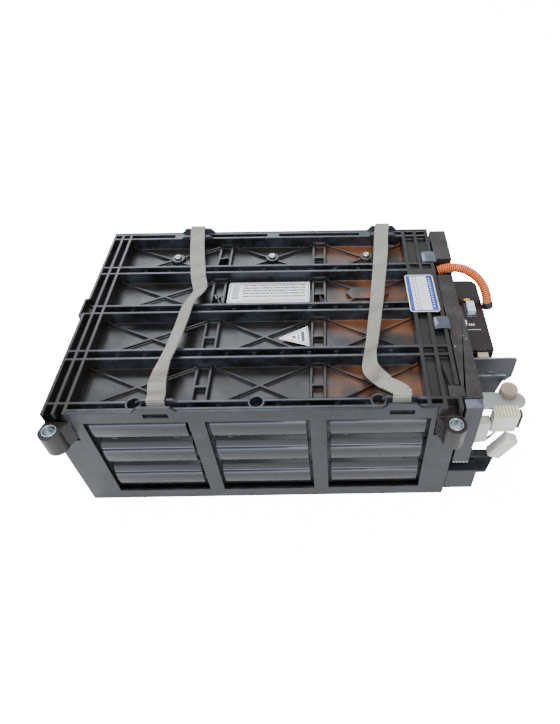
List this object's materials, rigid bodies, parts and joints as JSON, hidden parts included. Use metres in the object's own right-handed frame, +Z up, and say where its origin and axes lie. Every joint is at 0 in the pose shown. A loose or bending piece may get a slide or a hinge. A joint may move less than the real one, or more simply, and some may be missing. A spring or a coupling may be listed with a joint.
{
  "type": "prismatic battery pack",
  "caption": "Black ribbed traction-battery case with louvred front, stacked prismatic modules inside, webbing lifting straps, mounting lugs and an electrical end with orange conduit.",
  "frame": {"origin": "centre of the flat underside of the case", "axes": "+X towards the electrical end, -Y towards the louvred front, +Z up through the ribbed cover"},
  "size_m": [0.5051, 0.3284, 0.1791],
  "materials": {
    "case_plastic": "semi-gloss moulded black",
    "vane_plastic": "semi-gloss moulded blue-black",
    "strip_plastic": "dull brown-black, scuffed",
    "box_plastic": "glossy maroon-black",
    "bracket_plastic": "satin lilac-grey",
    "plate_plastic": "satin dark grey",
    "zinc_steel": "bright zinc-plated",
    "light_alloy": "dull light metal",
    "link_metal": "nickel-plated copper",
    "module_case": "blue-grey module case, average density of a cell module",
    "webbing": "woven light grey webbing",
    "conduit_orange": "satin corrugated orange",
    "rubber_black": "matt black",
    "ivory_plastic": "satin ivory",
    "pale_blue_plastic": "satin pale blue",
    "cap_plastic": "translucent brown"
  },
  "bodies": {
    "pack": {"base_tray": "case_plastic", "bus_link_01": "link_metal", "bus_link_02": "link_metal", "bus_link_03": "link_metal", "bus_link_04": "link_metal", "bus_link_05": "link_metal", "bus_link_06": "link_metal", "bus_link_07": "link_metal", "bus_link_08": "link_metal", "bus_link_09": "link_metal", "bus_link_10": "link_metal", "bus_link_11": "link_metal", "cell_module_01": "module_case", "cell_module_02": "module_case", "cell_module_03": "module_case", "cell_module_04": "module_case", "cell_module_05": "module_case", "cell_module_06": "module_case", "cell_module_07": "module_case", "cell_module_08": "module_case", "cell_module_09": "module_case", "cell_module_10": "module_case", "cell_module_11": "module_case", "cell_module_12": "module_case", "conduit_clamp": "bracket_plastic", "conduit_cuff": "rubber_black", "cover_screw_1": "zinc_steel", "cover_screw_2": "zinc_steel", "cover_screw_3": "zinc_steel", "end_bracket": "bracket_plastic", "end_cover_block": "strip_plastic", "end_cover_strip": "strip_plastic", "front_panel": "case_plastic", "harness_shelf": "case_plastic", "junction_box": "box_plastic", "junction_box_lid": "box_plastic", "left_end_panel": "case_plastic", "left_lug_bush": "zinc_steel", "left_strap": "webbing", "lower_connector": "ivory_plastic", "lower_tray": "case_plastic", "middle_connector": "ivory_plastic", "power_conduit": "conduit_orange", "rear_panel": "case_plastic", "right_end_panel": "case_plastic", "right_lug_bush": "zinc_steel", "right_strap": "webbing", "short_bracket_plate": "plate_plastic", "signal_lead": "ivory_plastic", "sleeved_lead": "rubber_black", "terminal_housing": "strip_plastic", "terminal_plate": "light_alloy", "top_cover": "case_plastic", "upper_connector": "ivory_plastic", "vent_louvre_1": "vane_plastic", "vent_louvre_2": "vane_plastic", "vent_louvre_3": "vane_plastic", "wide_bracket_plate": "plate_plastic"},
    "plug": {"signal_plug": "pale_blue_plastic"},
    "cap": {"terminal_cap": "cap_plastic"}
  },
  "joints": [
    {"name": "signal_plug_pull", "type": "slide", "parent": "pack", "child": "plug", "axis": [0, 0, 1], "range_m": [0, 0.014]},
    {"name": "terminal_cap_pull", "type": "slide", "parent": "pack", "child": "cap", "axis": [0, 0, 1], "range_m": [0, 0.012]}
  ]
}
